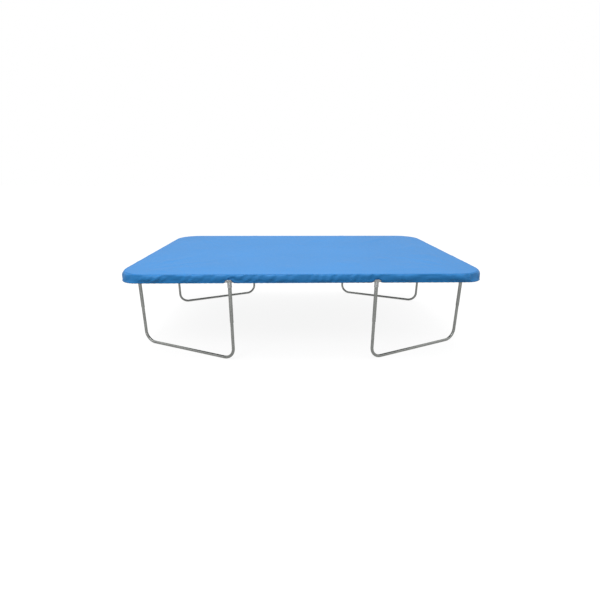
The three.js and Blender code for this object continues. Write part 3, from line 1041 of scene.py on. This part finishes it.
def loop_noise(turns, seed):
    """Soft noise that closes round the loop, with about this many waves in all."""
    source = np.random.default_rng(seed)
    along = np.arange(COVER_LOOP) / COVER_LOOP
    waves = np.round(turns * source.uniform(0.5, 1.6, NOISE_WAVES))
    phases = source.uniform(0, 2 * math.pi, NOISE_WAVES)
    return np.sin(2 * math.pi * np.outer(along, waves) + phases).sum(1) / math.sqrt(NOISE_WAVES / 2)


def outward_of(rows):
    """Level directions out of the cover at each point round it, from the points a few steps away."""
    loop, steps = rows[-1][:, :2], 3
    ahead = np.roll(loop, -steps, axis=0) - np.roll(loop, steps, axis=0)
    out = np.column_stack([ahead[:, 1], -ahead[:, 0], np.zeros(COVER_LOOP)])
    return out / np.linalg.norm(out, axis=1)[:, None]


FOLD_DEPTH, PUCKER_DEPTH, CREASE_DEPTH = 0.0030, 0.0022, 0.0036
FOLD_WAVES, PUCKER_WAVES, WANDER_WAVES, STRENGTH_WAVES = 34, 110, 26, 19  # in all, round the skirt
FOLD_LEAN = 7  # how many points a fold shifts along the loop on its way down


def ruffled(rows):
    """The skirt with wandering creases and soft upright folds, which the simulation starts from."""
    shaped = rows.copy()
    out = outward_of(rows)
    first = len(TOP_INSETS)
    folds, puckers = loop_noise(FOLD_WAVES, 3), loop_noise(PUCKER_WAVES, 5)
    wander = loop_noise(WANDER_WAVES, 9)
    strength = 0.5 + 0.5 * np.tanh(loop_noise(STRENGTH_WAVES, 11))
    for index in range(first, len(rows) - 1):
        t = (index - first) / (len(rows) - 1 - first)
        lean = int(FOLD_LEAN * t)
        fold = FOLD_DEPTH * np.roll(folds, lean) + PUCKER_DEPTH * np.roll(puckers, -lean)
        crease = CREASE_DEPTH * strength * np.sin(2 * math.pi * (1.7 * t + 0.22 * wander))
        shaped[index] += out * ((fold + crease) * math.sin(math.pi * t) ** 0.8)[:, None]
    return shaped


LOOSENESS = 0.10  # extra cloth in the skirt, as a share of its size
SIM_FRAMES = 22
SIM_LIMIT = 0.013  # how far the simulation may move a point
EDGE_SHARE = 0.12  # share of its move that a point on the rounded edge keeps
FREE_ROWS = 6  # rows over which that share grows to the whole
SINK_TOP, SINK_SKIRT = 0.0005, 0.010  # how far a point may sink, on the edge and further down the skirt
SINK_ROWS = 4


def add_cloth(trial):
    """Light, soft cloth held at its pins, which grows where the loose group says."""
    cloth = trial.modifiers.new("cloth", "CLOTH")
    settings = cloth.settings
    settings.quality = 5
    settings.mass = 0.2
    settings.tension_stiffness = 18
    settings.compression_stiffness = 18
    settings.shear_stiffness = 6
    settings.bending_stiffness = 0.12
    settings.air_damping = 2
    settings.vertex_group_mass = "pins"
    settings.vertex_group_shrink = "loose"
    settings.shrink_min = 0.0
    settings.shrink_max = -LOOSENESS
    settings.effector_weights.gravity = 0.3
    cloth.collision_settings.use_collision = False
    cloth.point_cache.frame_end = SIM_FRAMES


def simulated(rows):
    """The gathered skirt and the edge of the top panel, buckled by a cloth simulation between fixed rows."""
    first = next(i for i, inset in enumerate(TOP_INSETS) if inset < SIM_INSET)
    start = rows[first:]
    faces = skin([range(COVER_LOOP)] * len(start), flip=True)
    trial = add_piece("cover_trial", start.reshape(-1, 3), faces, COVER_CLOTH, smooth_angle=180)
    pins = trial.vertex_groups.new(name="pins")
    loose = trial.vertex_groups.new(name="loose")
    for index in range(len(start)):
        share = np.clip((index + first - len(TOP_INSETS) + 3) / (len(SKIRT_SECTION) - 4), 0, 1)
        ring = list(range(index * COVER_LOOP, (index + 1) * COVER_LOOP))
        loose.add(ring, float(share), "REPLACE")
        if index in (0, len(start) - 1):
            pins.add(ring, 1.0, "REPLACE")
    add_cloth(trial)
    scene = bpy.context.scene
    for step in range(1, SIM_FRAMES + 1):
        scene.frame_set(step)
    posed = trial.evaluated_get(bpy.context.evaluated_depsgraph_get())
    moved = np.zeros(len(posed.data.vertices) * 3, np.float32)
    posed.data.vertices.foreach_get("co", moved)
    scene.frame_set(1)
    bpy.data.objects.remove(trial)
    return limited(rows, moved.reshape(start.shape), first)


def limited(rows, moved, first):
    """The simulated rows, with each point's move capped, smoothed and kept off the pads under the cloth."""
    shift = moved - rows[first:]
    length = np.linalg.norm(shift, axis=2, keepdims=True)
    shift *= np.minimum(1, SIM_LIMIT / np.maximum(length, 1e-9))
    for _ in range(2):
        shift = (np.roll(shift, 1, axis=1) + 2 * shift + np.roll(shift, -1, axis=1)) / 4
        shift[1:-1] = (shift[:-2] + 2 * shift[1:-1] + shift[2:]) / 4
    below_edge = np.arange(len(shift)) - (len(TOP_INSETS) - first)
    free = np.clip(below_edge / FREE_ROWS, 0, 1)[:, None, None]
    shift *= EDGE_SHARE + (1 - EDGE_SHARE) * free
    sink = np.clip((below_edge - FREE_ROWS) / SINK_ROWS, 0, 1)[:, None]
    shift[:, :, 2] = np.maximum(shift[:, :, 2], -SINK_TOP - SINK_SKIRT * sink)
    result = rows.copy()
    result[first:] += shift
    return result


def kept_clear(rows, flat):
    """Moves the skirt's points out to where they clear the pads, rails and sockets inside it."""
    out = outward_of(flat)
    first = len(TOP_INSETS)
    for index, (inset, share) in enumerate(SKIRT_SECTION[:-2]):
        limit = INSET_LIMIT if share > EDGE_END else inset + EDGE_SLACK
        moved = ((rows[first + index] - flat[first + index]) * out).sum(1)
        short = np.maximum(min(inset, limit) - limit - moved, 0)
        rows[first + index] += out * short[:, None]
    return rows


def cloth_roll(name, edge, radius, gathers, material):
    """A closed roll of cloth along a row of points, gathered by a share of its radius."""
    loop = [Vector(p) for p in edge]
    rings = rings_along(smooth_route(loop + loop[:1]), radius, 8)[:-1]
    for i, ring in enumerate(rings):
        swell = 1 + gathers * math.sin(2 * math.pi * i / 5 + 2 * math.sin(i / 17))
        rings[i] = [loop[i] + (p - loop[i]) * swell for p in ring]
    points = flattened(rings)
    faces = [tuple(i % len(points) for i in face) for face in skin(rings + rings[:1])]
    roll = add_piece(name, points, faces, material, smooth_angle=180)
    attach(roll, "cover")
    return roll


def make_cover():
    flat = make_cover_rows()
    rows = ruffled(flat)
    rows = simulated(rows)
    rows = kept_clear(rows, flat)
    faces = skin([range(COVER_LOOP)] * len(rows), flip=True) + cap_across(COVER_STEPS, 0)
    cover = add_piece("cover_sheet", rows.reshape(-1, 3), faces, COVER_CLOTH, smooth_angle=180)
    thick = cover.modifiers.new("thickness", "SOLIDIFY")
    thick.thickness = COVER_THICKNESS
    thick.offset = -1
    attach(cover, "cover")
    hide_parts("cover_top", "cover_skirt")
    # the hem roll wears the darkened cover cloth, painted shade for the tucked-under hem
    hem_row = rows[-1] - (0, 0, HEM_BELOW)
    hem = cloth_roll("cover_hem", hem_row, HEM_RADIUS, HEM_GATHERS, HEM_PAINTED_SHADE_CLOTH)
    seam_row = rows[len(TOP_INSETS) + SEAM_ROW] + (0, 0, SEAM_ABOVE)
    seam = cloth_roll("cover_edge_seam", seam_row, SEAM_RADIUS, SEAM_GATHERS, COVER_CLOTH)


# -------- floor


FLOOR_REACH = 60.0


def make_floor():
    corners = [(x * FLOOR_REACH, y * FLOOR_REACH, 0) for x, y in ((-1, -1), (1, -1), (1, 1), (-1, 1))]
    floor = add_piece("floor", corners, [(0, 1, 2, 3)], FLOOR_WHITE)


make_camera()
make_studio()
make_floor()
make_straight_rails()
make_corner_rails()
make_uprights()
make_leg_bases()
make_sockets()
dress_fasteners()
make_jump_bed()
make_pads()
make_cover()
